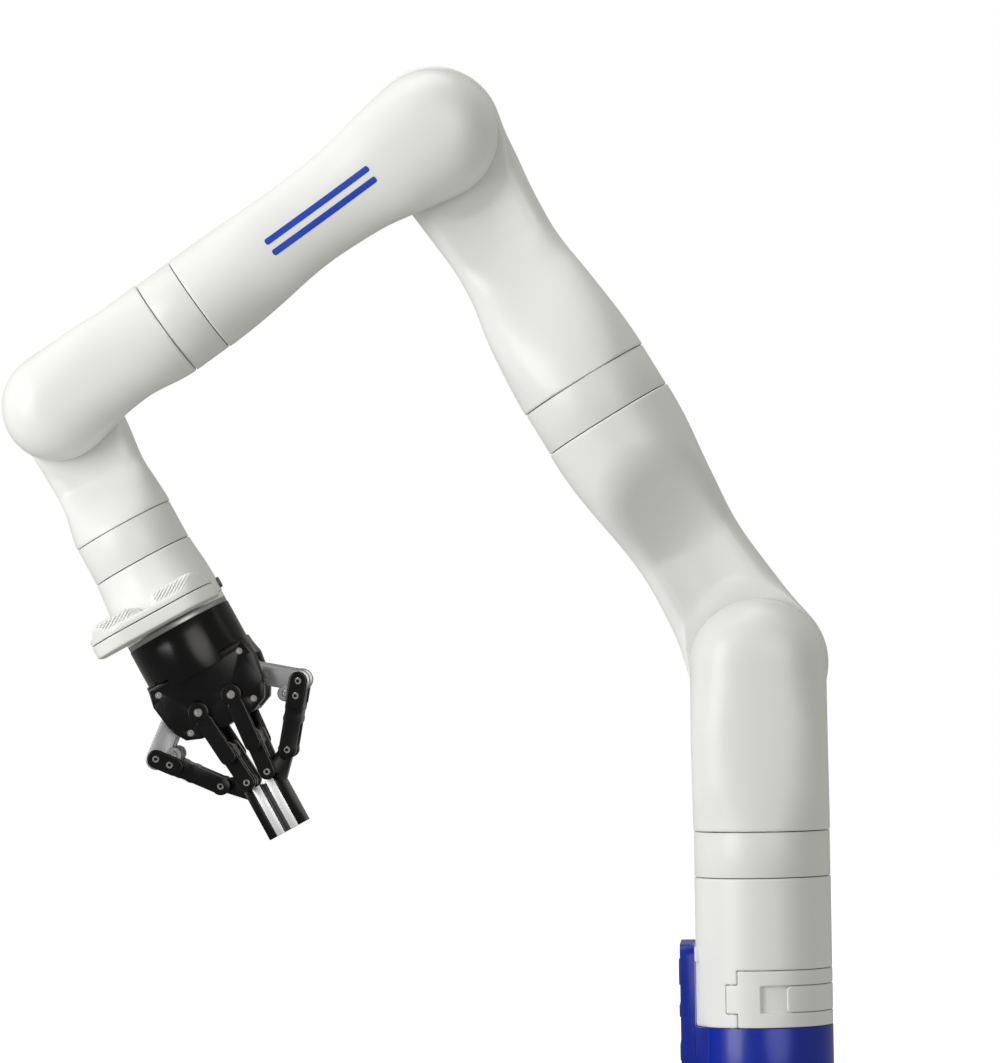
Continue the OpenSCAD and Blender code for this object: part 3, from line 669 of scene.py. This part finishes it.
# a boss on each driver, inward from the outer pivot
BUMP = PIVOT_E + np.array((-12.0, 3.3))
for hand, side_name in ((1, "left"), (-1, "right")):
    for front, face_name in ((1, "back"), (-1, "front")):
        tag = f"{side_name}_{face_name}"
        axes = side_of(hand, front)
        link, inner = f"{side_name}_link", f"{side_name}_inner"
        link_end = bar_field(PIVOT_E, PIVOT_E + 13.5 * LINK_WAY, 6.3, 11.9, 14.4)
        v, q = skin(link_end, (34, 9, 62), (66, 17, 98), PLATE_STEP, axes)
        piece(f"link_end_{tag}", v, q, link, "gripper_black")
        plate = bar_field(PIVOT_N + 8 * ARM_WAY, PIVOT_N + 36 * ARM_WAY, 5.8, 25.3, 28.4)
        v, q = skin(plate, (2, 23, 58), (24, 31, 108), PLATE_STEP, axes)
        piece(f"knuckle_plate_{tag}", v, q, inner, "gripper_black")
        arm = bar_field(PIVOT_N + 31 * ARM_WAY, PIVOT_P2, 5.6, 11.7, 20.0)
        v, q = skin(arm, (0, 9, 82), (20, 23, 127), PLATE_STEP, axes)
        piece(f"knuckle_arm_{tag}", v, q, inner, "gripper_black")
        lathe(f"driver_bump_{tag}", BUMP, [(5.4, 6.5), (5.4, 11.6), (4.9, 12.1)], hand, front,
              link, "driver_grey")
        for screw_name, centre, face, radius, body in (
                ("e", PIVOT_E, 14.4, 2.3, link),
                ("link", PIVOT_E + 10.2 * LINK_WAY, 14.4, 2.3, link),
                ("bump", BUMP, 12.1, 2.3, link),
                ("p1", PIVOT_P1, 11.3, 2.3, link),
                ("n", PIVOT_N, 29.0, 2.8, "hand"),
                ("p2", PIVOT_P2, 20.0, 2.3, inner)):
            screw(f"screw_{screw_name}_{tag}", centre, face, radius, hand, front, body)

# ---------------------------------------------------------------- camera, light, floor

camera_data = bpy.data.cameras.new("camera")
camera = bpy.data.objects.new("camera", camera_data)
bpy.context.scene.collection.objects.link(camera)
bpy.context.scene.camera = camera
camera_data.sensor_width = 36.0
camera_data.lens = 231.9612
camera_data.clip_end = 50
camera_data.dof.use_dof = False
CAMERA_PLACE = (0.0212, -4.6387, 0.3387)
YAW, PITCH, ROLL = -0.0420, -0.0082, -0.0171
ahead = Vector((math.sin(YAW) * math.cos(PITCH), math.cos(YAW) * math.cos(PITCH), -math.sin(PITCH)))
right = Vector((math.cos(YAW), -math.sin(YAW), 0))
up = right.cross(ahead)
right_2 = math.cos(ROLL) * right + math.sin(ROLL) * up
up_2 = -math.sin(ROLL) * right + math.cos(ROLL) * up
turn = Matrix((right_2, up_2, -ahead)).transposed()
camera.matrix_world = Matrix.Translation(Vector(CAMERA_PLACE)) @ turn.to_4x4()


def soft_box(name, place, aim, size, power):
    data = bpy.data.lights.new(name, "AREA")
    data.shape = "RECTANGLE"
    data.size, data.size_y = size
    data.energy = power
    data.specular_factor = 0.45
    lamp = bpy.data.objects.new(name, data)
    bpy.context.scene.collection.objects.link(lamp)
    lamp.location = place
    lamp.rotation_mode = "QUATERNION"
    lamp.rotation_quaternion = (Vector(aim) - Vector(place)).to_track_quat("-Z", "Y")


soft_box("key", (-2.0, -1.5, 0.75), (-0.15, 0, 0.35), (1.2, 1.7), 38)
soft_box("top", (-0.4, 0.2, 2.2), (-0.2, 0, 0.4), (1.6, 1.0), 12)

world = bpy.data.worlds.new("studio")
bpy.context.scene.world = world
world.use_nodes = True
wn, wl = world.node_tree.nodes, world.node_tree.links
wn.clear()
out = wn.new("ShaderNodeOutputWorld")
lit, seen = wn.new("ShaderNodeBackground"), wn.new("ShaderNodeBackground")
path, mix = wn.new("ShaderNodeLightPath"), wn.new("ShaderNodeMixShader")
seen.inputs["Color"].default_value = (1, 1, 1, 1)
where, split = wn.new("ShaderNodeTexCoord"), wn.new("ShaderNodeSeparateXYZ")
slide = wn.new("ShaderNodeValToRGB")
span = wn.new("ShaderNodeMapRange")
span.inputs["From Min"].default_value = -1
span.inputs["From Max"].default_value = 1
wl.new(where.outputs["Generated"], split.inputs["Vector"])
wl.new(split.outputs["X"], span.inputs["Value"])
wl.new(span.outputs["Result"], slide.inputs["Fac"])
slide.color_ramp.elements[0].color = (1.0, 1.0, 1.0, 1)
slide.color_ramp.elements[1].color = (0.78, 0.80, 0.73, 1)
middle_tone = slide.color_ramp.elements.new(0.52)
middle_tone.color = (0.44, 0.445, 0.42, 1)
wl.new(slide.outputs["Color"], lit.inputs["Color"])
lit.inputs["Strength"].default_value = 0.75
# what glossy surfaces see: a dim room with one soft lamp to the right of the camera
facing, glow = wn.new("ShaderNodeVectorMath"), wn.new("ShaderNodeMapRange")
mirrored = wn.new("ShaderNodeBackground")
facing.operation = "DOT_PRODUCT"
facing.inputs[1].default_value = Vector((0.36, -0.90, 0.22)).normalized()
wl.new(where.outputs["Generated"], facing.inputs[0])
glow.interpolation_type = "SMOOTHSTEP"
glow.inputs["From Min"].default_value = 0.90
glow.inputs["From Max"].default_value = 0.985
glow.inputs["To Min"].default_value = 0.3
glow.inputs["To Max"].default_value = 3.6
wl.new(facing.outputs["Value"], glow.inputs["Value"])
wl.new(glow.outputs["Result"], mirrored.inputs["Strength"])
mirrored.inputs["Color"].default_value = (1.0, 0.97, 0.95, 1)
gloss_mix = wn.new("ShaderNodeMixShader")
wl.new(path.outputs["Is Glossy Ray"], gloss_mix.inputs["Fac"])
wl.new(lit.outputs["Background"], gloss_mix.inputs[1])
wl.new(mirrored.outputs["Background"], gloss_mix.inputs[2])
wl.new(path.outputs["Is Camera Ray"], mix.inputs["Fac"])
wl.new(gloss_mix.outputs["Shader"], mix.inputs[1])
wl.new(seen.outputs["Background"], mix.inputs[2])
wl.new(mix.outputs["Shader"], out.inputs["Surface"])
bpy.context.scene.view_settings.view_transform = "Standard"

floor_mesh = bpy.data.meshes.new("floor")
FLOOR = 3.0
floor_mesh.from_pydata([(-FLOOR, -FLOOR, 0), (FLOOR, -FLOOR, 0), (FLOOR, FLOOR, 0), (-FLOOR, FLOOR, 0)], [],
                       [(0, 1, 2, 3)])
floor = bpy.data.objects.new("floor", floor_mesh)
bpy.context.scene.collection.objects.link(floor)
floor.location.z = -0.0005
floor_material, _, _, floor_shader = new_material("floor_white")
floor_shader.inputs["Base Color"].default_value = (0.5, 0.5, 0.5, 1)
floor_shader.inputs["Roughness"].default_value = 0.9
floor_shader.inputs["Emission Color"].default_value = (1, 1, 1, 1)
floor_shader.inputs["Emission Strength"].default_value = 0.85
floor_mesh.materials.append(floor_material)
floor.visible_diffuse = False
floor.visible_glossy = False
